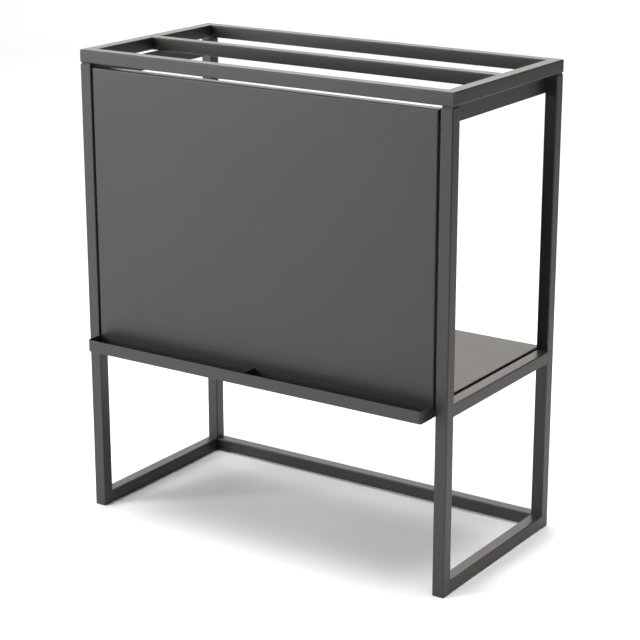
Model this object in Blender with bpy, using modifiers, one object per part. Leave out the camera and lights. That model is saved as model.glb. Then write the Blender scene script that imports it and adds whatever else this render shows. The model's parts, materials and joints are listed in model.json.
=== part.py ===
"""Flap-front storage stand: a square tube frame with a shelf, an open top frame and a hinged front.

Units are metres and +Z is up. -Y is the front, +X is the right-hand side of someone facing the
front, and the origin is on the floor below the middle of the overall box.
"""

import math

import bmesh
import bpy
from mathutils import Matrix, Vector

# Overall sizes, over the posts
WIDTH = 0.660
DEPTH = 0.330
HEIGHT = 0.750

# Square steel tube
TUBE = 0.020
TUBE_WALL = 0.0015
TUBE_CORNER = 0.0019
CORNER_SEGMENTS = 3

# Gap that is left where two solids are welded, seated or pushed together
SEAT_GAP = 0.0003

# Frame
MID_RAIL_TOP = 0.2965
SHADOW_GAP = 0.003
SIDE_PLATE_HEIGHT = 0.0265
SIDE_PLATE_THICKNESS = 0.002

# Glides and post plugs
GLIDE_THICKNESS = 0.001
GLIDE_INSET = 0.0005
GLIDE_STEM = 0.012
PLUG_ABOVE_BUSH = 0.001
PLUG_COLLAR_INSET = 0.0015
PLUG_STUD_RADIUS = 0.005
PLUG_STUD_HEIGHT = 0.012

# Shelf, a pan of sheet steel with its flanges turned down
SHEET = 0.0012
SHELF_LIFT = 0.0015
SHELF_FLANGE = 0.020
SHELF_SIDE_GAP = 0.003
SHELF_EDGE_RADIUS = 0.001
SCREW_END_DISTANCE = 0.060
SCREW_SHANK_RADIUS = 0.0025
SCREW_SHANK_LENGTH = 0.012
SCREW_HEAD_RADIUS = 0.0048
SCREW_HEAD_HEIGHT = 0.0027
SCREW_SOCKET_RADIUS = 0.0017
SCREW_SOCKET_DEPTH = 0.0015
NUT_RADIUS = 0.0035
NUT_LENGTH = 0.0095
NUT_FLANGE_RADIUS = 0.0048
NUT_FLANGE_THICKNESS = 0.0008
SPACER_RADIUS = 0.0065

# Flap, a pan of sheet steel with its back open between returned lips
FLAP_THICKNESS = 0.020
FLAP_SIDE_GAP = 0.0035
FLAP_TOP_GAP = 0.006
FLAP_FOOT_BELOW_RAIL_TOP = 0.0205
FLAP_BACK_LIP = 0.016
FLAP_EDGE_RADIUS = 0.0009

# Ledge on the foot of the flap
LEDGE_REACH = 0.033
LEDGE_HEIGHT = 0.0195
LEDGE_CORNER = 0.004
LEDGE_CORNER_SEGMENTS = 5
LEDGE_EDGE_RADIUS = 0.0008
DIVIDER_THICKNESS = 0.002
DIVIDER_OFFSET = -0.0075
DIVIDER_DROP = 0.0005

# Pivots and stops
PIVOT_DROP = 0.011
PIN_RADIUS = 0.0025
PIN_HEAD_CLEARANCE = 0.0006
PIN_HEAD_THICKNESS = 0.002
RUNNING_CLEARANCE = 0.00015
BUSH_WALL = 0.0010
BUSH_FLANGE_RADIUS = 0.0048
BUSH_FLANGE_THICKNESS = 0.0012
BUSH_LENGTH = 0.007
STOP_RADIUS = 0.0015
STOP_ORBIT = 0.0066
STOP_SLOT_CLEARANCE = 0.0003
STOP_SLOT_STEPS = 16
STOP_REACH = 0.0068
FLAP_SWING = math.radians(90)
BUMPER_THICKNESS = 0.0035
BUMPER_RADIUS = 0.005
BUMPER_END_DISTANCE = 0.080
ROUND_SEGMENTS = 24

# Places that follow from the sizes above
HALF_WIDTH = WIDTH / 2
FRONT_Y = (LEDGE_REACH - DEPTH) / 2
REAR_Y = (LEDGE_REACH + DEPTH) / 2
MIDDLE_Y = (FRONT_Y + REAR_Y) / 2
POST_X = HALF_WIDTH - TUBE / 2
FRONT_POST_Y = FRONT_Y + TUBE / 2
REAR_POST_Y = REAR_Y - TUBE / 2
POST_FOOT_Z = GLIDE_THICKNESS + SEAT_GAP
TOP_FRAME_FOOT_Z = HEIGHT - TUBE
POST_TOP_Z = TOP_FRAME_FOOT_Z - SHADOW_GAP
TUBE_BORE = TUBE - 2 * TUBE_WALL
INNER_X = HALF_WIDTH - TUBE

FLAP_HALF_WIDTH = INNER_X - FLAP_SIDE_GAP
FLAP_TOP_Z = TOP_FRAME_FOOT_Z - FLAP_TOP_GAP
FLAP_FOOT_Z = MID_RAIL_TOP - FLAP_FOOT_BELOW_RAIL_TOP
FLAP_BACK_Y = FRONT_Y + FLAP_THICKNESS
PIVOT_Y = FRONT_Y + FLAP_THICKNESS / 2
PIVOT_Z = FLAP_TOP_Z - PIVOT_DROP
PIN_BORE = PIN_RADIUS + RUNNING_CLEARANCE
PIN_HEAD_RADIUS = STOP_ORBIT - STOP_RADIUS - PIN_HEAD_CLEARANCE
STOP_SLOT_DEPTH = SEAT_GAP + STOP_REACH - FLAP_SIDE_GAP + STOP_SLOT_CLEARANCE
BUSH_RADIUS = PIN_BORE + BUSH_WALL
PLUG_STEM = POST_TOP_Z - PIVOT_Z - BUSH_RADIUS - PLUG_ABOVE_BUSH

SHELF_TOP_Z = MID_RAIL_TOP + SHELF_LIFT
SHELF_HALF_WIDTH = INNER_X - SHELF_SIDE_GAP
SHELF_FRONT_Y = FLAP_BACK_Y + BUMPER_THICKNESS + 2 * SEAT_GAP
SCREW_Z = MID_RAIL_TOP - TUBE / 2

SIDES = {"left": -1, "right": 1}
ENDS = {"front": FRONT_POST_Y, "rear": REAR_POST_Y}


def clear_scene():
    for leftover in list(bpy.data.objects):
        bpy.data.objects.remove(leftover, do_unlink=True)


def make_collection(name):
    collection = bpy.data.collections.new(name)
    bpy.context.scene.collection.children.link(collection)
    return collection


clear_scene()
STAND = make_collection("flap_front_stand")
CUTTERS = make_collection("cutters")


def make_material(name, colour, roughness, metallic):
    material = bpy.data.materials.new(name)
    material.use_nodes = True
    shader = material.node_tree.nodes["Principled BSDF"]
    shader.inputs["Base Color"].default_value = (*colour, 1.0)
    shader.inputs["Roughness"].default_value = roughness
    shader.inputs["Metallic"].default_value = metallic
    material.diffuse_color = (*colour, 1.0)
    return material


def steel(name):
    """Satin black powder coat on steel."""
    return make_material(name + "_coat", (0.055, 0.052, 0.050), 0.45, 0.0)


def nylon(name):
    return make_material(name + "_nylon", (0.03, 0.03, 0.03), 0.55, 0.0)


def zinc(name):
    return make_material(name + "_zinc", (0.62, 0.62, 0.60), 0.35, 1.0)


def rubber(name):
    return make_material(name + "_rubber", (0.02, 0.02, 0.02), 0.8, 0.0)


def add_object(name, mesh, material, location=(0, 0, 0)):
    piece = bpy.data.objects.new(name, mesh)
    piece.location = location
    STAND.objects.link(piece)
    if material is not None:
        piece.data.materials.append(material)
    return piece


def mesh_from(bm, name):
    bmesh.ops.recalc_face_normals(bm, faces=bm.faces)
    mesh = bpy.data.meshes.new(name)
    bm.to_mesh(mesh)
    bm.free()
    return mesh


def box_mesh(name, size):
    """A box centred on its origin."""
    bm = bmesh.new()
    bmesh.ops.create_cube(bm, size=1.0)
    bmesh.ops.scale(bm, vec=Vector(size), verts=bm.verts)
    return mesh_from(bm, name)


def box_between(name, low, high, material):
    """A box from its low corner to its high corner, with its origin at its centre."""
    low, high = Vector(low), Vector(high)
    return add_object(name, box_mesh(name, high - low), material, (low + high) / 2)


def round_edges(piece, radius, segments):
    bevel = piece.modifiers.new("rounded_edges", "BEVEL")
    bevel.width = radius
    bevel.segments = segments
    bevel.limit_method = "ANGLE"
    bevel.use_clamp_overlap = True
    return bevel


def make_cutter(cutter):
    STAND.objects.unlink(cutter)
    CUTTERS.objects.link(cutter)
    cutter.hide_render = True
    cutter.display_type = "WIRE"
    return cutter


def box_cutter(name, low, high):
    return make_cutter(box_between(name, low, high, None))


def cylinder_mesh(name, radius, length, axis="Z"):
    """A cylinder centred on its origin, along one axis."""
    bm = bmesh.new()
    add_cylinder(bm, radius, (0, 0, 0), length, axis)
    return mesh_from(bm, name)


def add_cylinder(bm, radius, centre, length, axis="Z"):
    turn = {
        "X": Matrix.Rotation(math.radians(90), 4, "Y"),
        "Y": Matrix.Rotation(math.radians(-90), 4, "X"),
        "Z": Matrix.Identity(4),
    }[axis]
    bmesh.ops.create_cone(
        bm,
        cap_ends=True,
        segments=ROUND_SEGMENTS,
        radius1=radius,
        radius2=radius,
        depth=length,
        matrix=Matrix.Translation(centre) @ turn,
    )


def cylinder_cutter(name, radius, centre, length, axis):
    piece = add_object(name, cylinder_mesh(name, radius, length, axis), None, centre)
    return make_cutter(piece)


def cut(piece, *cutters):
    for cutter in cutters:
        boolean = piece.modifiers.new("cut_" + cutter.name, "BOOLEAN")
        boolean.operation = "DIFFERENCE"
        boolean.solver = "EXACT"
        boolean.object = cutter


def apply_modifiers(piece):
    """Replaces the piece's mesh with its evaluated one, and drops the modifiers."""
    evaluated = piece.evaluated_get(bpy.context.evaluated_depsgraph_get())
    mesh = bpy.data.meshes.new_from_object(evaluated)
    piece.modifiers.clear()
    piece.data = mesh


def shade_round(piece):
    piece.data.shade_smooth()
    piece.data.set_sharp_from_angle(angle=math.radians(35))


def turned(name, profile, material, location, axis_turn):
    """A solid of revolution about its own Z, from (radius, height) points that run top to bottom."""
    mesh = bpy.data.meshes.new(name)
    points = [(radius, 0.0, height) for radius, height in profile]
    edges = [(i, i + 1) for i in range(len(points) - 1)]
    mesh.from_pydata(points, edges, [])
    piece = add_object(name, mesh, material, location)
    piece.rotation_euler = axis_turn
    screw = piece.modifiers.new("turned", "SCREW")
    screw.steps = ROUND_SEGMENTS
    screw.render_steps = ROUND_SEGMENTS
    screw.use_merge_vertices = True
    screw.merge_threshold = 0.00001
    apply_modifiers(piece)
    shade_round(piece)
    return piece


def tube(name, centre, length, axis, mitre=0):
    """A square tube, open at both ends, along one axis.

    mitre is 0 for square ends. With +1 or -1 both ends are cut at 45 degrees, with the long side
    towards +Y for a tube along X, and towards +X for a tube along Y, or the other way round.
    """
    bm = bmesh.new()
    bmesh.ops.create_cube(bm, size=1.0)
    bmesh.ops.scale(bm, vec=Vector((TUBE, TUBE, length)), verts=bm.verts)
    end_faces = [face for face in bm.faces if abs(face.normal.z) > 0.5]
    bmesh.ops.delete(bm, geom=end_faces, context="FACES_ONLY")
    long_edges = [edge for edge in bm.edges if abs(edge.verts[0].co.z - edge.verts[1].co.z) > length / 2]
    bmesh.ops.bevel(bm, geom=long_edges, offset=TUBE_CORNER, segments=CORNER_SEGMENTS, profile=0.5,
                    affect="EDGES")
    piece = add_object(name, mesh_from(bm, name), steel(name), centre)
    wall = piece.modifiers.new("wall", "SOLIDIFY")
    wall.thickness = TUBE_WALL
    wall.offset = -1.0
    wall.use_even_offset = True
    apply_modifiers(piece)
    turn = {
        "X": Matrix.Rotation(math.radians(90), 4, "Y"),
        "Y": Matrix.Rotation(math.radians(-90), 4, "X"),
        "Z": Matrix.Identity(4),
    }[axis]
    piece.data.transform(turn)
    if mitre:
        along, across = (0, 1) if axis == "X" else (1, 0)
        for vertex in piece.data.vertices:
            end = math.copysign(1.0, vertex.co[along])
            vertex.co[along] += end * (mitre * vertex.co[across] - TUBE / 2 - SEAT_GAP)
    return piece


def make_posts():
    for side, sign in SIDES.items():
        for end, post_y in ENDS.items():
            length = POST_TOP_Z - POST_FOOT_Z
            centre = (sign * POST_X, post_y, (POST_TOP_Z + POST_FOOT_Z) / 2)
            post = tube(f"{end}_{side}_post", centre, length, "Z")
            if end == "front":
                place = (sign * INNER_X, PIVOT_Y, PIVOT_Z)
                cut(post, cylinder_cutter(f"{side}_bush_hole", BUSH_RADIUS + SEAT_GAP, place, TUBE, "X"))


def make_side_rails():
    """The mid rail and the floor rail of each side, welded between its two posts."""
    length = DEPTH - 2 * TUBE - 2 * SEAT_GAP
    screw_hole_radius = NUT_RADIUS + SEAT_GAP
    for side, sign in SIDES.items():
        mid_rail = tube(f"{side}_mid_rail", (sign * POST_X, MIDDLE_Y, MID_RAIL_TOP - TUBE / 2), length, "Y")
        for place, screw_y in screw_places().items():
            centre = (sign * INNER_X, screw_y, SCREW_Z)
            cut(mid_rail, cylinder_cutter(f"{side}_{place}_nut_hole", screw_hole_radius, centre, TUBE / 2, "X"))
        tube(f"{side}_floor_rail", (sign * POST_X, MIDDLE_Y, POST_FOOT_Z + TUBE / 2), length, "Y")


def make_rear_floor_rail():
    length = WIDTH - 2 * TUBE - 2 * SEAT_GAP
    tube("rear_floor_rail", (0, REAR_POST_Y, POST_FOOT_Z + TUBE / 2), length, "X")


def make_side_plates():
    for side, sign in SIDES.items():
        inner = sign * INNER_X
        outer = sign * (INNER_X + SIDE_PLATE_THICKNESS)
        low = (min(inner, outer), FRONT_Y + TUBE + SEAT_GAP, POST_TOP_Z - SIDE_PLATE_HEIGHT)
        high = (max(inner, outer), REAR_Y - TUBE - SEAT_GAP, POST_TOP_Z)
        box_between(f"{side}_side_plate", low, high, steel(f"{side}_side_plate"))


def stud_holes():
    """One cutter for each post plug's stud, shared by the two rails that meet there."""
    holes = {}
    for side, sign in SIDES.items():
        for end, post_y in ENDS.items():
            centre = (sign * POST_X, post_y, TOP_FRAME_FOOT_Z)
            radius = PLUG_STUD_RADIUS + SEAT_GAP
            holes[(end, side)] = cylinder_cutter(f"{end}_{side}_stud_hole", radius, centre, TUBE / 2, "Z")
    return holes


def make_top_frame():
    """A mitred rectangle with one rail across its middle."""
    centre_z = HEIGHT - TUBE / 2
    holes = stud_holes()
    for end, post_y in ENDS.items():
        outwards = -1 if end == "front" else 1
        rail = tube(f"top_{end}_rail", (0, post_y, centre_z), WIDTH, "X", mitre=outwards)
        cut(rail, holes[(end, "left")], holes[(end, "right")])
    for side, sign in SIDES.items():
        rail = tube(f"top_{side}_rail", (sign * POST_X, MIDDLE_Y, centre_z), DEPTH, "Y", mitre=sign)
        cut(rail, holes[("front", side)], holes[("rear", side)])
    tube("top_middle_rail", (0, MIDDLE_Y, centre_z), WIDTH - 2 * TUBE - 2 * SEAT_GAP, "X")


def merged(name, shapes, material, location):
    """One closed body from solids that overlap, joined one after the other."""
    base, *others = shapes
    piece = add_object(name, base, material, location)
    for number, mesh in enumerate(others):
        tool = make_cutter(add_object(f"{name}_form_{number}", mesh, None, location))
        union = piece.modifiers.new("join", "BOOLEAN")
        union.operation = "UNION"
        union.solver = "EXACT"
        union.object = tool
    return piece


def shifted(mesh, offset):
    mesh.transform(Matrix.Translation(offset))
    return mesh


def make_glides():
    """A thin foot pad with a stem that is pushed up into the post."""
    pad_side = TUBE - 2 * GLIDE_INSET
    stem_side = TUBE_BORE - 2 * SEAT_GAP
    stem_height = GLIDE_STEM + GLIDE_THICKNESS
    for side, sign in SIDES.items():
        for end, post_y in ENDS.items():
            name = f"{end}_{side}_glide"
            pad = shifted(box_mesh(name, (pad_side, pad_side, GLIDE_THICKNESS)), (0, 0, GLIDE_THICKNESS / 2))
            stem = shifted(box_mesh(name + "_stem", (stem_side, stem_side, stem_height)), (0, 0, stem_height / 2))
            merged(name, [pad, stem], nylon(name), (sign * POST_X, post_y, 0))


def make_post_plugs():
    """A stem in the post, a collar that makes the shadow gap, and a stud in the top frame."""
    stem_side = TUBE_BORE - 2 * SEAT_GAP
    collar_side = TUBE - 2 * PLUG_COLLAR_INSET
    collar_height = SHADOW_GAP - 2 * SEAT_GAP
    stem_length = PLUG_STEM + SEAT_GAP
    stud_length = PLUG_STUD_HEIGHT + SHADOW_GAP
    for side, sign in SIDES.items():
        for end, post_y in ENDS.items():
            name = f"{end}_{side}_post_plug"
            collar = shifted(box_mesh(name, (collar_side, collar_side, collar_height)), (0, 0, SHADOW_GAP / 2))
            stem = shifted(
                box_mesh(name + "_stem", (stem_side, stem_side, stem_length)),
                (0, 0, SEAT_GAP + SHADOW_GAP / 4 - stem_length / 2),
            )
            stud = shifted(
                cylinder_mesh(name + "_stud", PLUG_STUD_RADIUS, stud_length - SHADOW_GAP / 2),
                (0, 0, SHADOW_GAP / 2 + (stud_length - SHADOW_GAP / 2) / 2),
            )
            merged(name, [collar, stem, stud], nylon(name), (sign * POST_X, post_y, POST_TOP_Z))


def screw_places():
    return {
        "front": FRONT_Y + SCREW_END_DISTANCE,
        "rear": REAR_Y - SCREW_END_DISTANCE,
    }


def make_shelf():
    low = (-SHELF_HALF_WIDTH, SHELF_FRONT_Y, SHELF_TOP_Z - SHELF_FLANGE)
    high = (SHELF_HALF_WIDTH, REAR_Y, SHELF_TOP_Z)
    shelf = box_between("shelf", low, high, steel("shelf"))
    round_edges(shelf, SHELF_EDGE_RADIUS, 2)
    hollow_low = (low[0] + SHEET, low[1] + SHEET, low[2] - SHELF_FLANGE)
    hollow_high = (high[0] - SHEET, high[1] - SHEET, high[2] - SHEET)
    cut(shelf, box_cutter("shelf_hollow", hollow_low, hollow_high))
    for place, screw_y in screw_places().items():
        hole_radius = SCREW_SHANK_RADIUS + SEAT_GAP
        for side, sign in SIDES.items():
            centre = (sign * SHELF_HALF_WIDTH, screw_y, SCREW_Z)
            name = f"{side}_{place}_shelf_hole"
            cut(shelf, cylinder_cutter(name, hole_radius, centre, SHELF_SIDE_GAP, "X"))


def make_shelf_fixings():
    """Screws from under the shelf, through its flange and a spacer, into rivet nuts in the mid rail."""
    thread_bore = SCREW_SHANK_RADIUS + SEAT_GAP
    nut_flange = SEAT_GAP + NUT_FLANGE_THICKNESS
    for side, sign in SIDES.items():
        inwards = (0, -sign * math.radians(90), 0)
        outwards = (0, sign * math.radians(90), 0)
        for place, screw_y in screw_places().items():
            rail_face = (sign * INNER_X, screw_y, SCREW_Z)
            name = f"{place}_{side}_rivet_nut"
            turned(name, [
                (NUT_RADIUS, NUT_LENGTH),
                (NUT_RADIUS, -SEAT_GAP),
                (NUT_FLANGE_RADIUS, -SEAT_GAP),
                (NUT_FLANGE_RADIUS, -nut_flange),
                (thread_bore, -nut_flange),
                (thread_bore, NUT_LENGTH),
                (NUT_RADIUS, NUT_LENGTH),
            ], zinc(name), rail_face, outwards)

            name = f"{place}_{side}_shelf_spacer"
            turned(name, [
                (SPACER_RADIUS, SHELF_SIDE_GAP - SEAT_GAP),
                (SPACER_RADIUS, nut_flange + SEAT_GAP),
                (thread_bore, nut_flange + SEAT_GAP),
                (thread_bore, SHELF_SIDE_GAP - SEAT_GAP),
                (SPACER_RADIUS, SHELF_SIDE_GAP - SEAT_GAP),
            ], nylon(name), rail_face, inwards)

            flange_inside = (sign * (SHELF_HALF_WIDTH - SHEET - SEAT_GAP), screw_y, SCREW_Z)
            name = f"{place}_{side}_shelf_screw"
            turned(name, [
                (0.0, SCREW_SHANK_LENGTH),
                (SCREW_SHANK_RADIUS, SCREW_SHANK_LENGTH),
                (SCREW_SHANK_RADIUS, 0.0),
                (SCREW_HEAD_RADIUS, 0.0),
                (SCREW_HEAD_RADIUS, -0.3 * SCREW_HEAD_HEIGHT),
                (0.85 * SCREW_HEAD_RADIUS, -0.75 * SCREW_HEAD_HEIGHT),
                (0.60 * SCREW_HEAD_RADIUS, -SCREW_HEAD_HEIGHT),
                (SCREW_SOCKET_RADIUS, -SCREW_HEAD_HEIGHT),
                (SCREW_SOCKET_RADIUS, SCREW_SOCKET_DEPTH - SCREW_HEAD_HEIGHT),
                (0.0, SCREW_SOCKET_DEPTH - SCREW_HEAD_HEIGHT),
            ], zinc(name), flange_inside, outwards)


def make_flap_axis():
    """The empty that carries the flap, on the line through both pivot pins."""
    axis = bpy.data.objects.new("flap_axis", None)
    axis.location = (0, PIVOT_Y, PIVOT_Z)
    STAND.objects.link(axis)
    return axis


def hang_on(axis, piece):
    piece.location = Vector(piece.location) - Vector(axis.location)
    piece.parent = axis


def stop_slot_cutter(name, pivot, length):
    """A slot round the pivot, from behind it to above it: a flat rectangle spun about the X axis.

    The slot runs past both ends of the flap's swing by the stud's radius and its clearance.
    """
    half_width = STOP_RADIUS + STOP_SLOT_CLEARANCE
    overrun = math.asin(half_width / STOP_ORBIT)
    half_length = length / 2
    section = bmesh.new()
    bmesh.ops.create_grid(section, x_segments=1, y_segments=1, size=1.0)
    bmesh.ops.scale(section, vec=(half_length, half_width, 1.0), verts=section.verts)
    bmesh.ops.translate(section, vec=(0, STOP_ORBIT, 0), verts=section.verts)
    bmesh.ops.rotate(section, cent=(0, 0, 0), matrix=Matrix.Rotation(-overrun, 3, "X"), verts=section.verts)
    bmesh.ops.spin(section, geom=section.verts[:] + section.edges[:] + section.faces[:], cent=(0, 0, 0),
                   axis=(1, 0, 0), angle=FLAP_SWING + 2 * overrun, steps=STOP_SLOT_STEPS)
    return make_cutter(add_object(name, mesh_from(section, name), None, pivot))


def make_flap_panel(axis):
    low = Vector((-FLAP_HALF_WIDTH, FRONT_Y, FLAP_FOOT_Z))
    high = Vector((FLAP_HALF_WIDTH, FLAP_BACK_Y, FLAP_TOP_Z))
    panel = box_between("flap_panel", low, high, steel("flap_panel"))
    round_edges(panel, FLAP_EDGE_RADIUS, 2)
    sheet = Vector((SHEET, SHEET, SHEET))
    lip = Vector((FLAP_BACK_LIP, 0, FLAP_BACK_LIP))
    inside = box_cutter("flap_inside", low + sheet, high - sheet)
    window_low = Vector((low.x, FLAP_BACK_Y - FLAP_THICKNESS / 2, low.z)) + lip
    window_high = Vector((high.x, FLAP_BACK_Y + FLAP_THICKNESS, high.z)) - lip
    window = box_cutter("flap_back_window", window_low, window_high)
    cut(panel, inside, window)
    for side, sign in SIDES.items():
        place = (sign * FLAP_HALF_WIDTH, PIVOT_Y, PIVOT_Z)
        cut(panel, cylinder_cutter(f"{side}_pin_hole", PIN_RADIUS + SEAT_GAP, place, 6 * SHEET, "X"),
            stop_slot_cutter(f"{side}_stop_slot", place, 2 * STOP_SLOT_DEPTH))
    hang_on(axis, panel)


def make_flap_ledge(axis):
    """A tray in front of the panel's foot, open above, with its ends and lip in one piece."""
    low = Vector((-FLAP_HALF_WIDTH, FRONT_Y - LEDGE_REACH, FLAP_FOOT_Z))
    high = Vector((FLAP_HALF_WIDTH, FRONT_Y - SEAT_GAP, FLAP_FOOT_Z + LEDGE_HEIGHT))
    ledge = box_between("flap_ledge", low, high, steel("flap_ledge"))
    bm = bmesh.new()
    bm.from_mesh(ledge.data)
    half_depth = (high.y - low.y) / 2
    front_corners = [
        edge for edge in bm.edges
        if all(abs(vert.co.y + half_depth) < half_depth / 2 for vert in edge.verts)
        and abs(edge.verts[0].co.z - edge.verts[1].co.z) > LEDGE_HEIGHT / 2
    ]
    bmesh.ops.bevel(bm, geom=front_corners, offset=LEDGE_CORNER, segments=LEDGE_CORNER_SEGMENTS,
                    profile=0.5, affect="EDGES")
    bm.to_mesh(ledge.data)
    bm.free()
    inner = box_between("ledge_inside", low, high, None)
    inner.data = ledge.data.copy()
    scale = Matrix.Diagonal((
        1 - SHEET / FLAP_HALF_WIDTH,
        1.0,
        1.0,
        1.0,
    ))
    inner.data.transform(scale)
    inner.location = ledge.location + Vector((0, SHEET, SHEET))
    cut(ledge, make_cutter(inner))
    hang_on(axis, ledge)


def make_divider(axis):
    bottom = FLAP_FOOT_Z + SHEET + SEAT_GAP
    low = (DIVIDER_OFFSET - DIVIDER_THICKNESS / 2, FRONT_Y - LEDGE_REACH + SHEET + SEAT_GAP, bottom)
    high = (DIVIDER_OFFSET + DIVIDER_THICKNESS / 2, FRONT_Y - SEAT_GAP,
            FLAP_FOOT_Z + LEDGE_HEIGHT - DIVIDER_DROP)
    hang_on(axis, box_between("flap_divider", low, high, steel("flap_divider")))


def make_pivots(axis):
    """Pins that ride with the flap, and the flanged bushes that they turn in."""
    flange_outside = SEAT_GAP + BUSH_FLANGE_THICKNESS
    for side, sign in SIDES.items():
        quarter_turn = (0, sign * math.radians(90), 0)

        head_from = FLAP_HALF_WIDTH - SHEET - SEAT_GAP
        reach = INNER_X + BUSH_LENGTH - head_from
        name = f"{side}_pivot_pin"
        profile = [
            (0.0, reach),
            (PIN_RADIUS, reach),
            (PIN_RADIUS, 0.0),
            (PIN_HEAD_RADIUS, 0.0),
            (PIN_HEAD_RADIUS, -PIN_HEAD_THICKNESS),
            (0.0, -PIN_HEAD_THICKNESS),
        ]
        pin = turned(name, profile, zinc(name), (sign * head_from, PIVOT_Y, PIVOT_Z), quarter_turn)
        hang_on(axis, pin)

        name = f"{side}_pivot_bush"
        profile = [
            (BUSH_RADIUS, BUSH_LENGTH),
            (BUSH_RADIUS, -SEAT_GAP),
            (BUSH_FLANGE_RADIUS, -SEAT_GAP),
            (BUSH_FLANGE_RADIUS, -flange_outside),
            (PIN_BORE, -flange_outside),
            (PIN_BORE, BUSH_LENGTH),
            (BUSH_RADIUS, BUSH_LENGTH),
        ]
        turned(name, profile, nylon(name), (sign * INNER_X, PIVOT_Y, PIVOT_Z), quarter_turn)


def make_stop_pins():
    """Studs on the front posts, behind the pivots, that run in the slots of the flap's sides."""
    for side, sign in SIDES.items():
        name = f"{side}_stop_pin"
        centre_x = sign * (INNER_X - SEAT_GAP - STOP_REACH / 2)
        mesh = cylinder_mesh(name, STOP_RADIUS, STOP_REACH, "X")
        shade_round(add_object(name, mesh, zinc(name), (centre_x, PIVOT_Y + STOP_ORBIT, PIVOT_Z)))


def make_bumpers():
    """Rubber discs on the shelf's front flange, in line with the lip along the panel's foot."""
    overlap_foot = max(FLAP_FOOT_Z, SHELF_TOP_Z - SHELF_FLANGE)
    overlap_top = min(FLAP_FOOT_Z + FLAP_BACK_LIP, SHELF_TOP_Z)
    bumper_z = (overlap_foot + overlap_top) / 2
    for side, sign in SIDES.items():
        name = f"{side}_bumper"
        place = (sign * (SHELF_HALF_WIDTH - BUMPER_END_DISTANCE), SHELF_FRONT_Y - SEAT_GAP, bumper_z)
        profile = [
            (0.0, BUMPER_THICKNESS),
            (BUMPER_RADIUS * 0.7, BUMPER_THICKNESS),
            (BUMPER_RADIUS * 0.93, BUMPER_THICKNESS * 0.75),
            (BUMPER_RADIUS, BUMPER_THICKNESS * 0.35),
            (BUMPER_RADIUS, 0.0),
            (0.0, 0.0),
        ]
        turned(name, profile, rubber(name), place, (math.radians(90), 0, 0))


make_posts()
make_side_rails()
make_rear_floor_rail()
make_side_plates()
make_top_frame()
make_glides()
make_post_plugs()
make_shelf()
make_shelf_fixings()
flap_axis = make_flap_axis()
make_flap_panel(flap_axis)
make_flap_ledge(flap_axis)
make_divider(flap_axis)
make_pivots(flap_axis)
make_stop_pins()
make_bumpers()
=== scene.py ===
"""Looks of a flap-front storage stand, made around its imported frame.

The stand is satin black powder coat on square tube and folded sheet steel. The welded tubes, the
top ring, the side plates, the shelf, the flap and its ledge are made here again with their bends,
rounded edges and welds. The turned fittings keep their own shape and get their finish here.
"""

import json
import math

import bmesh
import bpy
from mathutils import Matrix, Vector


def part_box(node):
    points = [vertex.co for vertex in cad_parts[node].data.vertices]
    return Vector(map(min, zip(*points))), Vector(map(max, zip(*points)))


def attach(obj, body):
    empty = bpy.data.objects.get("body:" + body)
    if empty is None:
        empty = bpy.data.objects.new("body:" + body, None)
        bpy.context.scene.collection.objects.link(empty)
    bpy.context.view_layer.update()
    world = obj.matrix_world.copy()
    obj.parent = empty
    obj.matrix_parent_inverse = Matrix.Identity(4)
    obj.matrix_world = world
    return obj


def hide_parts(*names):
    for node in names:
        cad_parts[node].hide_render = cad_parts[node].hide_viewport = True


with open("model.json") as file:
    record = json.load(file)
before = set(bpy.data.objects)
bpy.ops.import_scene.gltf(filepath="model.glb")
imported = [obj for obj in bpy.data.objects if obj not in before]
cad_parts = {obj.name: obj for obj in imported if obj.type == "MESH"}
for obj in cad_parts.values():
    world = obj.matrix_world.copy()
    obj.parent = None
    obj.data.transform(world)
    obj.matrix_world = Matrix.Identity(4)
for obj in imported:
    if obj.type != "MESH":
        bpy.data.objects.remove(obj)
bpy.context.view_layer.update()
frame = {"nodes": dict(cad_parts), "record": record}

# Square tube: its rounded corners and the rim of its mitres
TUBE_CORNER = 0.0019
TUBE_CORNER_POINTS = 5
MITRE_ROUND = 0.0007

# Sheet steel: its thickness, bends and rims
SHEET = 0.0012
SHEET_RIM_ROUND = 0.0003
SHELF_BEND = 0.0016
FLAP_BEND = 0.0020
FLAP_BACK_LIP = 0.016
LEDGE_BEND = 0.0012
LEDGE_CORNER = 0.0042
BEND_SEGMENTS = 4
CORNER_SEGMENTS = 8
PLATE_ROUND = 0.0004
DIVIDER_ROUND = 0.0006
DIVIDER_ROUND_SEGMENTS = 3

# Holes and slots
BUSH_HOLE_RADIUS = 0.0039
PIN_HOLE_RADIUS = 0.0028
SCREW_HOLE_RADIUS = 0.0028
HOLE_SEGMENTS = 32
THROUGH_SHEET = 4 * SHEET
STOP_CLEARANCE = 0.0003
SLOT_STEPS = 24
FLAP_SWING = math.radians(90)

# Weld beads
WELD_RADIUS = 0.0009
WELD_INSET = 0.0004
WELD_RIPPLE = 0.00018
WELD_RIPPLE_SCALE = 900.0
WELD_STEP = 0.0007
WELD_SEGMENTS = 10
WELD_SEED = 3

# Rims that are rounded, and edges that shade smoothly
RIM_ANGLE = math.radians(50)
RIM_SEGMENTS = 2
SMOOTH_ANGLE = math.radians(40)

# How faces and edges are told apart: by the cosine between two directions, and by a height
FACING = 0.9
FOLD_FACING = 0.5
LEVEL_TOLERANCE = 1e-4

# Finishes: the usual range of a noise, and how far the coat's gloss wanders
NOISE_LOW = 0.3
NOISE_HIGH = 0.7
GLOSS_SPREAD = 0.008

# Camera
CAMERA_AZIMUTH = 33.6
CAMERA_ELEVATION = 17.1
CAMERA_DISTANCE = 3.08
CAMERA_LENS = 110.1
CAMERA_SENSOR = 36.0
CAMERA_REACH = 100.0
CAMERA_AIM = (0.003, 0.0165, 0.330)

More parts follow.
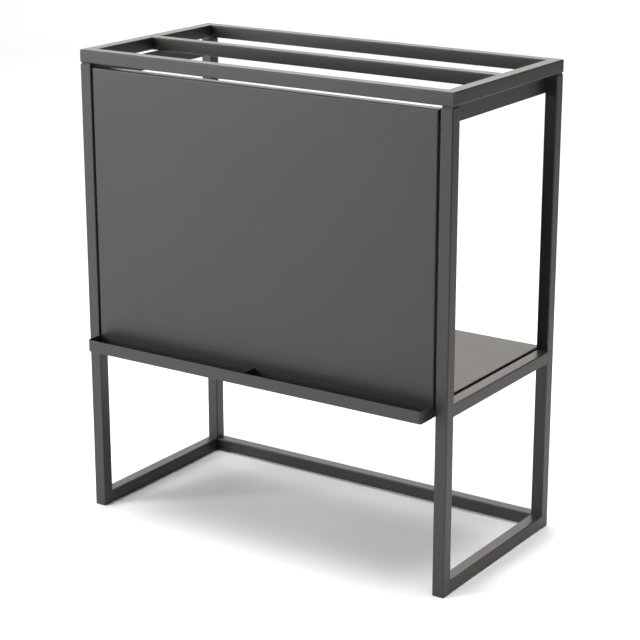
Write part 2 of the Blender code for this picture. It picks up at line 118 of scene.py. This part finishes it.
# Studio
WORLD_STRENGTH = 0.15
BACKDROP_STRENGTH = 0.62
FLOOR_REACH = 9.0
SOFTBOXES = {
    "ceiling": {
        "place": (0.0, 0.0, 6.0), "aim": (0.0, 0.0, 0.0), "width": 24.0, "length": 24.0,
        "power": 900.0, "spread": 60.0, "colour": (1.0, 1.0, 1.0),
    },
    "overhead": {
        "place": (0.0, 0.2, 3.2), "aim": (0.0, 0.2, 0.0), "width": 3.4, "length": 3.4,
        "power": 25.0, "spread": 60.0, "colour": (1.0, 1.0, 1.0),
    },
    "overhead_front": {
        "place": (-1.6, -2.4, 3.0), "aim": (-1.6, -2.4, 0.0), "width": 2.6, "length": 2.6,
        "power": 20.0, "spread": 60.0, "colour": (1.0, 1.0, 1.0),
    },
    "overhead_rear": {
        "place": (-3.2, 5.0, 3.6), "aim": (-3.2, 5.0, 0.0), "width": 5.0, "length": 5.0,
        "power": 45.0, "spread": 80.0, "colour": (1.0, 1.0, 1.0),
    },
    "rear_panel": {
        "place": (-2.6, 4.0, 2.65), "aim": (0.0, 0.0, 0.5), "width": 3.4, "length": 1.4,
        "power": 35.0, "spread": 120.0, "colour": (1.0, 0.94, 0.88),
    },
    "key": {
        "place": (-2.4, -3.0, 1.6), "aim": (-0.2, -0.15, 0.6), "width": 1.6, "length": 2.0,
        "power": 60.0, "spread": 120.0, "colour": (1.0, 1.0, 1.0),
    },
    "left_fill": {
        "place": (-3.6, 0.4, 1.8), "aim": (0.0, 0.0, 0.5), "width": 2.0, "length": 2.0,
        "power": 7.0, "spread": 120.0, "colour": (1.0, 1.0, 1.0),
    },
}

SIDES = {"left": -1, "right": 1}
ENDS = ("front", "rear")
POSTS = [f"{end}_{side}_post" for end in ENDS for side in SIDES]
MID_RAILS = ["left_mid_rail", "right_mid_rail"]
FLOOR_RAILS = ["left_floor_rail", "right_floor_rail", "rear_floor_rail"]
TOP_RAILS = ["top_front_rail", "top_rear_rail", "top_left_rail", "top_right_rail", "top_middle_rail"]


# ---------------------------------------------------------------- reading the frame

def centre_of(node):
    """The middle of a node's box."""
    low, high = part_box(node)
    return (low + high) / 2


def size_of(node):
    """A node's extents along X, Y and Z."""
    low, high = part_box(node)
    return high - low


TUBE = size_of("front_left_post").x


# ---------------------------------------------------------------- node helpers

def link(tree, source, target):
    tree.links.new(source, target)


def add_node(tree, kind, **values):
    """Adds a node; a value named for one of its sockets fills that socket, any other sets a property."""
    node = tree.nodes.new(kind)
    for key, value in values.items():
        label = key.replace("_", " ")
        if label in node.inputs:
            node.inputs[label].default_value = value
        else:
            setattr(node, key, value)
    return node


def object_noise(tree, scale, detail):
    """Noise fixed to the object, between about NOISE_LOW and NOISE_HIGH."""
    coordinates = add_node(tree, "ShaderNodeTexCoord")
    noise = add_node(tree, "ShaderNodeTexNoise", Scale=scale, Detail=detail)
    link(tree, coordinates.outputs["Object"], noise.inputs["Vector"])
    return noise.outputs["Fac"]


def remapped(tree, value, low, high):
    """Noise turned into a value between low and high."""
    remap = add_node(tree, "ShaderNodeMapRange")
    remap.inputs["From Min"].default_value = NOISE_LOW
    remap.inputs["From Max"].default_value = NOISE_HIGH
    remap.inputs["To Min"].default_value = low
    remap.inputs["To Max"].default_value = high
    link(tree, value, remap.inputs["Value"])
    return remap.outputs["Result"]


def mixed_colour(tree, value, dark, light):
    """Noise turned into a colour between dark and light."""
    ramp = add_node(tree, "ShaderNodeValToRGB")
    ramp.color_ramp.elements[0].position = NOISE_LOW
    ramp.color_ramp.elements[1].position = NOISE_HIGH
    ramp.color_ramp.elements[0].color = (*dark, 1.0)
    ramp.color_ramp.elements[1].color = (*light, 1.0)
    link(tree, value, ramp.inputs["Fac"])
    return ramp.outputs["Color"]


def bumped(tree, height, strength, distance, under=None):
    """A normal roughened by a height, over another bump if there is one."""
    bump = add_node(tree, "ShaderNodeBump", Strength=strength, Distance=distance)
    link(tree, height, bump.inputs["Height"])
    if under is not None:
        link(tree, under, bump.inputs["Normal"])
    return bump.outputs["Normal"]


def blank_material(name, **values):
    """A material with its tree and shader, whose sockets are filled by name."""
    material = bpy.data.materials.new(name)
    material.use_nodes = True
    tree = material.node_tree
    shader = tree.nodes["Principled BSDF"]
    for key, value in values.items():
        shader.inputs[key.replace("_", " ")].default_value = value
    return material, tree, shader


# ---------------------------------------------------------------- finishes

def powder_coat(name, dark, light, roughness):
    """Satin black powder coat: a fine orange peel over a slow change of tone and gloss."""
    material, tree, shader = blank_material(name, Metallic=0.0)
    patches = object_noise(tree, scale=4.0, detail=2.0)
    link(tree, mixed_colour(tree, patches, dark, light), shader.inputs["Base Color"])
    cloud = object_noise(tree, scale=38.0, detail=4.0)
    gloss = remapped(tree, cloud, low=roughness - GLOSS_SPREAD, high=roughness + GLOSS_SPREAD)
    link(tree, gloss, shader.inputs["Roughness"])
    peel = object_noise(tree, scale=520.0, detail=2.0)
    grit = object_noise(tree, scale=2600.0, detail=1.0)
    waves = bumped(tree, peel, strength=0.12, distance=0.0004)
    texture = bumped(tree, grit, strength=0.10, distance=0.0001, under=waves)
    link(tree, texture, shader.inputs["Normal"])
    return material


def moulded_nylon():
    """Matt black nylon with the fine grain of its mould."""
    material, tree, shader = blank_material("moulded_nylon")
    cloud = object_noise(tree, scale=160.0, detail=3.0)
    colour = mixed_colour(tree, cloud, dark=(0.020, 0.020, 0.021), light=(0.030, 0.030, 0.031))
    link(tree, colour, shader.inputs["Base Color"])
    link(tree, remapped(tree, cloud, low=0.48, high=0.62), shader.inputs["Roughness"])
    grain = object_noise(tree, scale=3200.0, detail=2.0)
    link(tree, bumped(tree, grain, strength=0.25, distance=0.0001), shader.inputs["Normal"])
    return material


def zinc_plate():
    """Bright zinc with faint spangle and fine turning marks."""
    material, tree, shader = blank_material("zinc_plate", Metallic=1.0)
    spangle = object_noise(tree, scale=900.0, detail=3.0)
    colour = mixed_colour(tree, spangle, dark=(0.50, 0.50, 0.49), light=(0.68, 0.68, 0.66))
    link(tree, colour, shader.inputs["Base Color"])
    link(tree, remapped(tree, spangle, low=0.26, high=0.40), shader.inputs["Roughness"])
    marks = object_noise(tree, scale=4200.0, detail=2.0)
    link(tree, bumped(tree, marks, strength=0.2, distance=0.00006), shader.inputs["Normal"])
    return material


def soft_rubber():
    """Dull black rubber with a faint bloom."""
    material, tree, shader = blank_material("soft_rubber")
    bloom = object_noise(tree, scale=420.0, detail=3.0)
    colour = mixed_colour(tree, bloom, dark=(0.016, 0.016, 0.016), light=(0.028, 0.027, 0.026))
    link(tree, colour, shader.inputs["Base Color"])
    link(tree, remapped(tree, bloom, low=0.72, high=0.85), shader.inputs["Roughness"])
    link(tree, bumped(tree, bloom, strength=0.3, distance=0.0001), shader.inputs["Normal"])
    return material


def studio_floor():
    """Matt white, hardly mottled."""
    material, tree, shader = blank_material("studio_floor", Roughness=0.9)
    cloud = object_noise(tree, scale=1.5, detail=2.0)
    colour = mixed_colour(tree, cloud, dark=(0.90, 0.90, 0.90), light=(0.92, 0.92, 0.92))
    link(tree, colour, shader.inputs["Base Color"])
    return material


FINISHES = {
    "tube_coat": powder_coat("tube_coat", dark=(0.0180, 0.0168, 0.0166), light=(0.0196, 0.0184, 0.0181),
                             roughness=0.42),
    "sheet_coat": powder_coat("sheet_coat", dark=(0.0188, 0.0176, 0.0174), light=(0.0204, 0.0192, 0.0189),
                              roughness=0.44),
    "nylon": moulded_nylon(),
    "zinc": zinc_plate(),
    "rubber": soft_rubber(),
}


# ---------------------------------------------------------------- mesh helpers

def object_from(name, bm):
    """An object made from a working mesh, with its faces turned outwards."""
    bmesh.ops.recalc_face_normals(bm, faces=bm.faces)
    mesh = bpy.data.meshes.new(name)
    bm.to_mesh(mesh)
    bm.free()
    piece = bpy.data.objects.new(name, mesh)
    bpy.context.scene.collection.objects.link(piece)
    return piece


def box_mesh(low, high):
    bm = bmesh.new()
    bmesh.ops.create_cube(bm, size=1.0)
    bmesh.ops.scale(bm, vec=Vector(high) - Vector(low), verts=bm.verts)
    bmesh.ops.translate(bm, vec=(Vector(low) + Vector(high)) / 2, verts=bm.verts)
    return bm


def bevel_edges(bm, edges, radius, segments):
    bmesh.ops.bevel(bm, geom=edges, offset=radius, segments=segments, profile=0.5, affect="EDGES",
                    clamp_overlap=True)


def faces_towards(bm, *directions):
    return [face for face in bm.faces
            if any(face.normal.dot(Vector(direction)) > FACING for direction in directions)]


def folded_edges(bm):
    """Edges between two faces, as an open sheet's rims are not."""
    return [edge for edge in bm.edges if len(edge.link_faces) == 2]


def baked(piece):
    """Makes the modified shape the piece's own mesh and drops its modifiers."""
    evaluated = piece.evaluated_get(bpy.context.evaluated_depsgraph_get())
    mesh = bpy.data.meshes.new_from_object(evaluated)
    piece.modifiers.clear()
    piece.data = mesh
    return piece


def rim_rounded(piece, radius, segments=RIM_SEGMENTS):
    """Rounds every sharp rim."""
    rim = piece.modifiers.new("rim", "BEVEL")
    rim.width = radius
    rim.segments = segments
    rim.limit_method = "ANGLE"
    rim.angle_limit = RIM_ANGLE
    return baked(piece)


def sheet_from(name, bm):
    """Sheet steel on the inside of a folded surface, with its rims rounded."""
    piece = object_from(name, bm)
    wall = piece.modifiers.new("wall", "SOLIDIFY")
    wall.thickness = SHEET
    wall.offset = -1.0
    wall.use_even_offset = True
    return rim_rounded(baked(piece), SHEET_RIM_ROUND)


def combine(piece, tool, operation):
    """Joins or cuts a piece with a tool, and removes the tool."""
    boolean = piece.modifiers.new("boolean", "BOOLEAN")
    boolean.operation = operation
    boolean.solver = "EXACT"
    boolean.object = tool
    baked(piece)
    bpy.data.objects.remove(tool)
    return piece


def drilled(piece, centre, radius, length):
    """Cuts a round hole along X."""
    bm = bmesh.new()
    turn = Matrix.Rotation(math.radians(90), 4, "Y")
    bmesh.ops.create_cone(bm, cap_ends=True, segments=HOLE_SEGMENTS, radius1=radius, radius2=radius,
                          depth=length, matrix=Matrix.Translation(centre) @ turn)
    return combine(piece, object_from("drill", bm), "DIFFERENCE")


def slotted(piece, pivot, orbit, half_width, sweep, length):
    """Cuts a slot round a pivot along X, from behind the pivot to above it."""
    overrun = math.asin(half_width / orbit)
    bm = bmesh.new()
    bmesh.ops.create_grid(bm, x_segments=1, y_segments=1, size=1.0)
    bmesh.ops.scale(bm, vec=(length / 2, half_width, 1.0), verts=bm.verts)
    bmesh.ops.translate(bm, vec=(0, orbit, 0), verts=bm.verts)
    bmesh.ops.rotate(bm, cent=(0, 0, 0), matrix=Matrix.Rotation(-overrun, 3, "X"), verts=bm.verts)
    bmesh.ops.spin(bm, geom=bm.verts[:] + bm.edges[:] + bm.faces[:], cent=(0, 0, 0), axis=(1, 0, 0),
                   angle=sweep + 2 * overrun, steps=SLOT_STEPS)
    bmesh.ops.translate(bm, vec=pivot, verts=bm.verts)
    return combine(piece, object_from("slot", bm), "DIFFERENCE")


def smooth_shaded(piece):
    """Rounded edges shade smoothly and flat faces stay flat."""
    piece.data.shade_smooth()
    piece.data.set_sharp_from_angle(angle=SMOOTH_ANGLE)
    normals = piece.modifiers.new("flat_faces", "WEIGHTED_NORMAL")
    normals.keep_sharp = True
    normals.weight = 100
    return baked(piece)


def finished(piece, finish, body, *replaced):
    """Gives a made piece its finish and its body, and hides the nodes that it stands for."""
    piece.data.materials.clear()
    piece.data.materials.append(FINISHES[finish])
    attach(piece, body)
    if replaced:
        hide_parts(*replaced)
    return piece


# ---------------------------------------------------------------- geometry node helpers

def new_tree(name, inputs):
    """A modifier tree with a geometry input, named size inputs and a geometry output."""
    tree = bpy.data.node_groups.new(name, "GeometryNodeTree")
    tree.is_modifier = True
    tree.interface.new_socket("Geometry", in_out="INPUT", socket_type="NodeSocketGeometry")
    for label, value in inputs.items():
        kind = "NodeSocketInt" if isinstance(value, int) else "NodeSocketFloat"
        socket = tree.interface.new_socket(label, in_out="INPUT", socket_type=kind)
        socket.default_value = value
    tree.interface.new_socket("Geometry", in_out="OUTPUT", socket_type="NodeSocketGeometry")
    return tree, add_node(tree, "NodeGroupInput"), add_node(tree, "NodeGroupOutput")


def close_tree(tree, geometry, output, finish):
    """Every tree ends in Realize Instances and Set Material."""
    realize = add_node(tree, "GeometryNodeRealizeInstances")
    material = add_node(tree, "GeometryNodeSetMaterial", Material=FINISHES[finish])
    link(tree, geometry, realize.inputs["Geometry"])
    link(tree, realize.outputs["Geometry"], material.inputs["Geometry"])
    link(tree, material.outputs["Geometry"], output.inputs["Geometry"])


def run_tree(piece, tree, values):
    """Runs a tree on a piece with its named sizes, and keeps the result as a plain mesh."""
    modifier = piece.modifiers.new(tree.name, "NODES")
    modifier.node_group = tree
    for item in tree.interface.items_tree:
        if item.in_out == "INPUT" and item.name in values:
            modifier[item.identifier] = values[item.name]
    return baked(piece)


def line_object(name, lines):
    """Loose straight edges, one for each pair of points."""
    bm = bmesh.new()
    for start, end in lines:
        bm.edges.new((bm.verts.new(start), bm.verts.new(end)))
    mesh = bpy.data.meshes.new(name)
    bm.to_mesh(mesh)
    bm.free()
    piece = bpy.data.objects.new(name, mesh)
    bpy.context.scene.collection.objects.link(piece)
    return piece


def rounded_square(tree, side, corner, points):
    """The outline of a square tube."""
    square = add_node(tree, "GeometryNodeCurvePrimitiveQuadrilateral")
    link(tree, side, square.inputs["Width"])
    link(tree, side, square.inputs["Height"])
    fillet = add_node(tree, "GeometryNodeFilletCurve", mode="POLY")
    fillet.inputs["Limit Radius"].default_value = True
    link(tree, square.outputs["Curve"], fillet.inputs["Curve"])
    link(tree, corner, fillet.inputs["Radius"])
    link(tree, points, fillet.inputs["Count"])
    return fillet.outputs["Curve"]


def welded_tube_tree():
    """Sweeps a square tube along every line and welds the tubes into one body."""
    sizes = {"Side": TUBE, "Corner": TUBE_CORNER, "Corner Points": TUBE_CORNER_POINTS}
    tree, given, output = new_tree("welded_tubes", sizes)
    paths = add_node(tree, "GeometryNodeMeshToCurve")
    sweep = add_node(tree, "GeometryNodeCurveToMesh")
    sweep.inputs["Fill Caps"].default_value = True
    weld = add_node(tree, "GeometryNodeMeshBoolean", operation="UNION", solver="EXACT")
    weld.inputs["Self Intersection"].default_value = True
    profile = rounded_square(tree, given.outputs["Side"], given.outputs["Corner"],
                             given.outputs["Corner Points"])
    link(tree, given.outputs["Geometry"], paths.inputs["Mesh"])
    link(tree, paths.outputs["Curve"], sweep.inputs["Curve"])
    link(tree, profile, sweep.inputs["Profile Curve"])
    link(tree, sweep.outputs["Mesh"], weld.inputs["Mesh 2"])
    close_tree(tree, weld.outputs["Mesh"], output, "tube_coat")
    return tree


def weld_bead_tree():
    """A rippled bead along every line."""
    sizes = {"Radius": WELD_RADIUS, "Ripple": WELD_RIPPLE, "Step": WELD_STEP, "Seed": WELD_SEED}
    tree, given, output = new_tree("weld_beads", sizes)
    paths = add_node(tree, "GeometryNodeMeshToCurve")
    steps = add_node(tree, "GeometryNodeResampleCurve", mode="LENGTH")
    noise = add_node(tree, "ShaderNodeTexNoise", noise_dimensions="4D", Scale=WELD_RIPPLE_SCALE,
                     Detail=1.0)
    spread = add_node(tree, "ShaderNodeMath", operation="MULTIPLY_ADD")
    share = add_node(tree, "ShaderNodeMath", operation="DIVIDE")
    thickness = add_node(tree, "GeometryNodeSetCurveRadius")
    ring = add_node(tree, "GeometryNodeCurvePrimitiveCircle", Resolution=WELD_SEGMENTS)
    radius = add_node(tree, "GeometryNodeInputRadius")
    sweep = add_node(tree, "GeometryNodeCurveToMesh")
    sweep.inputs["Fill Caps"].default_value = True
    link(tree, given.outputs["Geometry"], paths.inputs["Mesh"])
    link(tree, paths.outputs["Curve"], steps.inputs["Curve"])
    link(tree, given.outputs["Step"], steps.inputs["Length"])
    link(tree, given.outputs["Seed"], noise.inputs["W"])
    link(tree, given.outputs["Ripple"], share.inputs[0])
    link(tree, given.outputs["Radius"], share.inputs[1])
    link(tree, noise.outputs["Fac"], spread.inputs[0])
    link(tree, share.outputs["Value"], spread.inputs[1])
    spread.inputs[2].default_value = 1.0
    link(tree, steps.outputs["Curve"], thickness.inputs["Curve"])
    link(tree, spread.outputs["Value"], thickness.inputs["Radius"])
    link(tree, given.outputs["Radius"], ring.inputs["Radius"])
    link(tree, thickness.outputs["Curve"], sweep.inputs["Curve"])
    link(tree, ring.outputs["Curve"], sweep.inputs["Profile Curve"])
    link(tree, radius.outputs["Radius"], sweep.inputs["Scale"])
    close_tree(tree, sweep.outputs["Mesh"], output, "tube_coat")
    return tree


# ---------------------------------------------------------------- welded tubes

def between(start, end):
    return (Vector(start), Vector(end))


def base_tube_lines():
    """Centre lines: posts from foot to top, rails from one post's middle to the next one's."""
    lines = []
    for post in POSTS:
        low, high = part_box(post)
        middle = centre_of(post)
        lines.append(between((middle.x, middle.y, low.z), (middle.x, middle.y, high.z)))
    front = centre_of("front_left_post").y
    rear = centre_of("rear_left_post").y
    for rail in MID_RAILS + FLOOR_RAILS[:2]:
        middle = centre_of(rail)
        lines.append(between((middle.x, front, middle.z), (middle.x, rear, middle.z)))
    middle = centre_of("rear_floor_rail")
    half = centre_of("rear_right_post").x
    lines.append(between((-half, middle.y, middle.z), (half, middle.y, middle.z)))
    return lines


def make_base_frame():
    """Posts and rails in one welded piece, with a hole for each pivot bush."""
    piece = line_object("base_frame", base_tube_lines())
    run_tree(piece, welded_tube_tree(), {"Side": TUBE})
    for side in SIDES:
        bush = f"{side}_pivot_bush"
        drilled(piece, centre_of(bush), BUSH_HOLE_RADIUS, size_of(bush).x + 2 * SHEET)
    smooth_shaded(piece)
    finished(piece, "tube_coat", "frame", *POSTS, *MID_RAILS, *FLOOR_RAILS)


def mitred_ring(name, low, high):
    """A rectangle of square tube with mitred corners, swept corner by corner."""
    half = TUBE / 2
    outline = []
    for corner in range(4):
        centre = Vector((half - TUBE_CORNER, half - TUBE_CORNER))
        turn = Matrix.Rotation(corner * math.pi / 2, 2)
        for point in range(TUBE_CORNER_POINTS + 1):
            angle = point / TUBE_CORNER_POINTS * math.pi / 2
            arc = Vector((math.cos(angle), math.sin(angle))) * TUBE_CORNER
            outline.append(turn @ (centre + arc))
    middle = (Vector(low) + Vector(high)) / 2
    reach_x = (high.x - low.x) / 2 - half
    reach_y = (high.y - low.y) / 2 - half
    bm = bmesh.new()
    rings = []
    for across, up in outline:
        x = reach_x + across
        y = reach_y + across
        corners = ((-x, -y, up), (x, -y, up), (x, y, up), (-x, y, up))
        rings.append([bm.verts.new(middle + Vector(corner)) for corner in corners])
    for this, following in zip(rings, rings[1:] + rings[:1]):
        for corner in range(4):
            ahead = (corner + 1) % 4
            bm.faces.new((this[corner], this[ahead], following[ahead], following[corner]))
    return object_from(name, bm)


def make_top_frame():
    """The mitred ring with the middle rail welded into it, the rail's ends inside the ring's tubes."""
    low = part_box("top_left_rail")[0]
    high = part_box("top_right_rail")[1]
    ring = rim_rounded(mitred_ring("top_frame", low, high), MITRE_ROUND)
    rail_low, rail_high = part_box("top_middle_rail")
    into_ring = Vector((TUBE / 2, 0, 0))
    bm = box_mesh(rail_low - into_ring, rail_high + into_ring)
    lengthwise = [edge for edge in bm.edges if abs((edge.verts[0].co - edge.verts[1].co).x) > TUBE]
    bevel_edges(bm, lengthwise, TUBE_CORNER, TUBE_CORNER_POINTS)
    combine(ring, object_from("middle_bar", bm), "UNION")
    smooth_shaded(ring)
    finished(ring, "tube_coat", "frame", *TOP_RAILS)


def weld_lines():
    """The inside corners where one tube's end meets another tube's face."""
    reach = TUBE / 2 - TUBE_CORNER
    lines = []
    for side in SIDES:
        for rail in (f"{side}_mid_rail", f"{side}_floor_rail"):
            low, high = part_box(rail)
            middle = centre_of(rail).x
            levels = [high.z] if "floor" in rail else [low.z, high.z]
            for y in (low.y - WELD_INSET / 2, high.y + WELD_INSET / 2):
                for z in levels:
                    lines.append(between((middle - reach, y, z), (middle + reach, y, z)))
    low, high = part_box("rear_floor_rail")
    middle = centre_of("rear_floor_rail").y
    for x in (low.x, high.x):
        lines.append(between((x, middle - reach, high.z), (x, middle + reach, high.z)))
    low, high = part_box("top_middle_rail")
    for x in (low.x, high.x):
        lines.append(between((x, low.y + TUBE_CORNER, low.z), (x, high.y - TUBE_CORNER, low.z)))
        for y in (low.y, high.y):
            lines.append(between((x, y, low.z + TUBE_CORNER), (x, y, high.z - TUBE_CORNER)))
    return lines


def make_welds():
    """All the beads in one piece."""
    beads = line_object("weld_beads", weld_lines())
    run_tree(beads, weld_bead_tree(), {"Radius": WELD_RADIUS})
    smooth_shaded(beads)
    finished(beads, "tube_coat", "frame")


# ---------------------------------------------------------------- sheet steel

def make_side_plates():
    for side in SIDES:
        node = f"{side}_side_plate"
        piece = object_from(f"{side}_plate", box_mesh(*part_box(node)))
        smooth_shaded(rim_rounded(piece, PLATE_ROUND))
        finished(piece, "tube_coat", "frame", node)


def make_shelf():
    """A pan with its flanges turned down: an open box, bent at its edges and given the sheet's wall."""
    low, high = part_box("shelf")
    bm = box_mesh(low, high)
    bmesh.ops.delete(bm, geom=faces_towards(bm, (0, 0, -1)), context="FACES_ONLY")
    bevel_edges(bm, folded_edges(bm), SHELF_BEND, BEND_SEGMENTS)
    piece = sheet_from("shelf_pan", bm)
    for end in ENDS:
        for side, sign in SIDES.items():
            screw = centre_of(f"{end}_{side}_shelf_screw")
            flange = Vector((sign * high.x, screw.y, screw.z))
            drilled(piece, flange, SCREW_HOLE_RADIUS, THROUGH_SHEET)
    smooth_shaded(piece)
    finished(piece, "sheet_coat", "frame", "shelf")


def make_flap_panel():
    """A pan with its back open between returned lips, and a pin hole and a stop slot in each side."""
    low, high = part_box("flap_panel")
    bm = box_mesh(low, high)
    back = faces_towards(bm, (0, 1, 0))
    bmesh.ops.inset_region(bm, faces=back, thickness=FLAP_BACK_LIP, use_even_offset=True)
    bmesh.ops.delete(bm, geom=back, context="FACES_ONLY")
    folds = [edge for edge in folded_edges(bm)
             if edge.link_faces[0].normal.dot(edge.link_faces[1].normal) < FOLD_FACING]
    bevel_edges(bm, folds, FLAP_BEND, BEND_SEGMENTS)
    piece = sheet_from("flap_skin", bm)
    for side, sign in SIDES.items():
        pin = centre_of(f"{side}_pivot_pin")
        orbit = centre_of(f"{side}_stop_pin").y - pin.y
        half_width = size_of(f"{side}_stop_pin").z / 2 + STOP_CLEARANCE
        wall = Vector((sign * high.x, pin.y, pin.z))
        drilled(piece, wall, PIN_HOLE_RADIUS, THROUGH_SHEET)
        slotted(piece, wall, orbit, half_width, FLAP_SWING, THROUGH_SHEET)
    smooth_shaded(piece)
    finished(piece, "sheet_coat", "flap", "flap_panel")


def make_ledge():
    """A tray bent up from one sheet: floor, lip and ends, with rounded corners between them."""
    low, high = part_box("flap_ledge")
    bm = box_mesh(low, high)
    open_sides = faces_towards(bm, (0, 0, 1), (0, 1, 0))
    bmesh.ops.delete(bm, geom=open_sides, context="FACES_ONLY")
    corners = [edge for edge in folded_edges(bm)
               if abs((edge.verts[0].co - edge.verts[1].co).z) > LEVEL_TOLERANCE]
    bevel_edges(bm, corners, LEDGE_CORNER, CORNER_SEGMENTS)
    bm.normal_update()
    floor = faces_towards(bm, (0, 0, -1))
    floor_bend = [edge for edge in folded_edges(bm)
                  if (edge.link_faces[0] in floor) != (edge.link_faces[1] in floor)]
    bevel_edges(bm, floor_bend, LEDGE_BEND, BEND_SEGMENTS)
    piece = smooth_shaded(sheet_from("ledge_tray", bm))
    finished(piece, "sheet_coat", "flap", "flap_ledge")


def make_divider():
    piece = object_from("ledge_divider", box_mesh(*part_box("flap_divider")))
    smooth_shaded(rim_rounded(piece, DIVIDER_ROUND, DIVIDER_ROUND_SEGMENTS))
    finished(piece, "sheet_coat", "flap", "flap_divider")


# ---------------------------------------------------------------- carried-over fittings

def finish_fittings():
    """Gives every node of the frame the finish that the record names for it."""
    for entry in frame["record"]["subparts"]:
        mesh = frame["nodes"][entry["node"]].data
        mesh.materials.clear()
        mesh.materials.append(FINISHES[entry["material_slot"]])
        for polygon in mesh.polygons:
            polygon.material_index = 0


# ---------------------------------------------------------------- studio

def make_floor():
    """A plain pale floor, as far as the ceiling softbox lights it evenly."""
    bm = bmesh.new()
    bmesh.ops.create_grid(bm, x_segments=1, y_segments=1, size=FLOOR_REACH)
    floor = object_from("floor", bm)
    floor.data.materials.append(studio_floor())


def add_softbox(name, place, aim, width, length, power, spread, colour):
    """A rectangular light at a place, turned towards its aim."""
    light = bpy.data.lights.new(name, "AREA")
    light.shape = "RECTANGLE"
    light.size = width
    light.size_y = length
    light.energy = power
    light.spread = math.radians(spread)
    light.color = colour
    lamp = bpy.data.objects.new(name, light)
    lamp.location = place
    lamp.rotation_mode = "QUATERNION"
    lamp.rotation_quaternion = (Vector(aim) - Vector(place)).to_track_quat("-Z", "Y")
    bpy.context.scene.collection.objects.link(lamp)


def make_lights():
    """Softboxes in a dim room, whose walls look as pale as the far floor does."""
    scene = bpy.context.scene
    scene.view_settings.view_transform = "Standard"
    world = bpy.data.worlds.new("studio")
    world.use_nodes = True
    tree = world.node_tree
    sky = tree.nodes["Background"]
    sky.inputs["Color"].default_value = (1.0, 1.0, 1.0, 1.0)
    rays = add_node(tree, "ShaderNodeLightPath")
    strength = add_node(tree, "ShaderNodeMapRange")
    strength.inputs["To Min"].default_value = WORLD_STRENGTH
    strength.inputs["To Max"].default_value = BACKDROP_STRENGTH
    link(tree, rays.outputs["Is Camera Ray"], strength.inputs["Value"])
    link(tree, strength.outputs["Result"], sky.inputs["Strength"])
    scene.world = world
    for name, light in SOFTBOXES.items():
        add_softbox(name, **light)


def make_camera():
    """A long lens, in front of the stand and to its right, looking slightly down."""
    azimuth = math.radians(CAMERA_AZIMUTH)
    elevation = math.radians(CAMERA_ELEVATION)
    towards = Vector((
        math.sin(azimuth) * math.cos(elevation),
        -math.cos(azimuth) * math.cos(elevation),
        math.sin(elevation),
    ))
    data = bpy.data.cameras.new("camera")
    data.lens = CAMERA_LENS
    data.sensor_width = CAMERA_SENSOR
    data.clip_end = CAMERA_REACH
    camera = bpy.data.objects.new("camera", data)
    camera.location = Vector(CAMERA_AIM) + towards * CAMERA_DISTANCE
    camera.rotation_euler = (-towards).to_track_quat("-Z", "Y").to_euler()
    bpy.context.scene.collection.objects.link(camera)
    bpy.context.scene.camera = camera


make_camera()
make_floor()
make_lights()
finish_fittings()
make_base_frame()
make_top_frame()
make_welds()
make_side_plates()
make_shelf()
make_flap_panel()
make_ledge()
make_divider()
